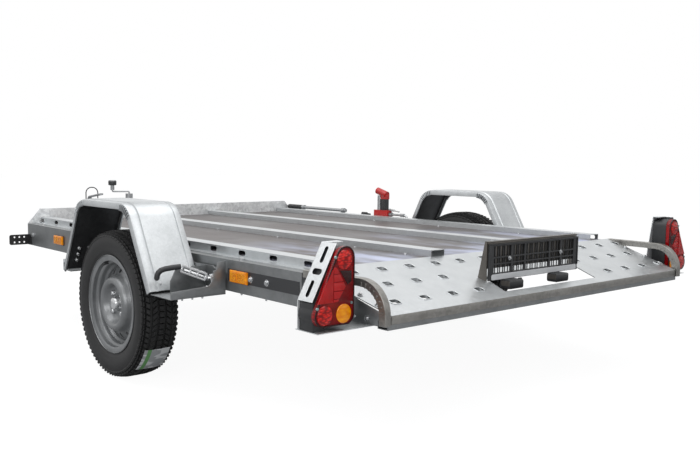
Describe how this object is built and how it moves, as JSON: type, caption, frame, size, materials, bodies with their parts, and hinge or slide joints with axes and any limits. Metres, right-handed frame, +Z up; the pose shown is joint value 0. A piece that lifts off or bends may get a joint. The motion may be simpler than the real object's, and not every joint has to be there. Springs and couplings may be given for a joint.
{
  "type": "motorcycle trailer",
  "caption": "Single-axle motorcycle trailer whose deck lowers to the ground, with angular fenders, a perforated rear ramp, a V drawbar and a jockey wheel.",
  "frame": {"origin": "on the ground, under the middle of the trailer's overall length, on its centre line", "axes": "+X forward towards the coupling, +Y to the trailer's left, +Z up"},
  "size_m": [3.834, 2.2, 0.682],
  "materials": {
    "galvanised_frame": "hot-dip galvanised, dull grey",
    "galvanised_bright": "pre-galvanised sheet, bright satin",
    "spangled_zinc": "spangled zinc sheet",
    "fender_zinc": "satin zinc sheet",
    "plywood": "brown film-faced plywood, satin",
    "lamp_lens": "clear red acrylic with an amber round",
    "black_plastic": "moulded black plastic",
    "bracket_grey": "dark galvanised sheet",
    "amber_lens": "amber acrylic",
    "clear_lens": "clear acrylic",
    "black_steel": "black powder coat",
    "zinc_plated": "bright zinc plating",
    "crank": "zinc-plated rod with a black knob",
    "rubber_wheel": "solid rubber tyre on a grey hub",
    "red_enamel": "red enamel",
    "cylinder_paint": "black enamel barrel",
    "tyre": "road tyre",
    "wheel_silver": "silver-grey wheel paint"
  },
  "bodies": {
    "chassis": {"breakaway_cable": "black_plastic", "cable_bracket": "zinc_plated", "coupling_head": "zinc_plated", "coupling_lever": "zinc_plated", "cross_members": "galvanised_frame", "cylinder_cross_member": "galvanised_frame", "drawbar_beams": "galvanised_frame", "drawbar_nose_plate": "galvanised_frame", "edge_rails": "galvanised_bright", "floor_panels": "plywood", "floor_rails": "galvanised_bright", "front_outriggers": "black_steel", "front_wall": "spangled_zinc", "guard_hoops": "galvanised_bright", "handle_clips": "zinc_plated", "handle_grip": "black_plastic", "jockey_clamp": "zinc_plated", "jockey_crank": "crank", "jockey_outer_tube": "zinc_plated", "lamp_brackets": "spangled_zinc", "plate_bracket": "bracket_grey", "plate_holder": "black_plastic", "plate_lamps": "black_plastic", "pressure_pipe": "zinc_plated", "pump_body": "red_enamel", "pump_handle": "zinc_plated", "pump_pillar": "black_steel", "pump_plunger": "zinc_plated", "pump_socket": "red_enamel", "ramp_cheeks": "galvanised_frame", "ramp_plate": "galvanised_bright", "ramp_sill": "galvanised_frame", "shaft_bearings": "galvanised_frame", "side_markers": "amber_lens", "side_members": "galvanised_frame", "tail_lamp_housings": "black_plastic", "tail_lamp_lenses": "lamp_lens"},
    "swing_axle": {"cross_shaft": "galvanised_frame", "carrier_arms": "galvanised_frame", "axle_stubs": "galvanised_frame", "fenders": "fender_zinc", "fender_brackets": "galvanised_frame", "latch_trays": "galvanised_frame", "toggle_latches": "zinc_plated", "latch_grips": "black_plastic", "position_lamps": "clear_lens"},
    "wheel_left": {"tyre_left": "tyre", "rim_left": "wheel_silver"},
    "wheel_right": {"tyre_right": "tyre", "rim_right": "wheel_silver"},
    "lift_cylinder": {"lift_cylinder": "cylinder_paint"},
    "lift_rod": {"lift_rod": "zinc_plated"},
    "jockey_leg": {"jockey_inner_tube": "zinc_plated"},
    "jockey_fork": {"jockey_fork": "zinc_plated"},
    "jockey_wheel": {"jockey_wheel": "rubber_wheel"}
  },
  "joints": [
    {"name": "deck_lowering", "type": "hinge", "parent": "chassis", "child": "swing_axle", "pos_m": [-0.225, 0, 0.424], "axis": [0, 1, 0], "range_deg": [0, 30]},
    {"name": "wheel_left_spin", "type": "hinge", "parent": "swing_axle", "child": "wheel_left", "pos_m": [-0.665, 0.997, 0.28], "axis": [0, 1, 0], "continuous": true},
    {"name": "wheel_right_spin", "type": "hinge", "parent": "swing_axle", "child": "wheel_right", "pos_m": [-0.665, -0.997, 0.28], "axis": [0, 1, 0], "continuous": true},
    {"name": "lift_cylinder_pivot", "type": "hinge", "parent": "chassis", "child": "lift_cylinder", "pos_m": [-0.685, 0, 0.35014], "axis": [0, 1, 0], "range_deg": [-1, 1]},
    {"name": "lift_rod_slide", "type": "slide", "parent": "lift_cylinder", "child": "lift_rod", "axis": [1, 0, 0], "range_m": [-0.0395, 0.0005]},
    {"name": "jockey_height", "type": "slide", "parent": "chassis", "child": "jockey_leg", "axis": [0, 0, 1], "range_m": [0, 0.13]},
    {"name": "jockey_swivel", "type": "hinge", "parent": "jockey_leg", "child": "jockey_fork", "pos_m": [1.515, -0.146, 0.2], "axis": [0, 0, 1], "continuous": true},
    {"name": "jockey_wheel_spin", "type": "hinge", "parent": "jockey_fork", "child": "jockey_wheel", "pos_m": [1.479, -0.146, 0.1], "axis": [0, 1, 0], "continuous": true}
  ],
  "couplings": [
    {"joint": "lift_cylinder_pivot", "follows": "deck_lowering", "ratio": -0.014878},
    {"joint": "lift_rod_slide", "follows": "deck_lowering", "m_per_rad": -0.073839}
  ]
}
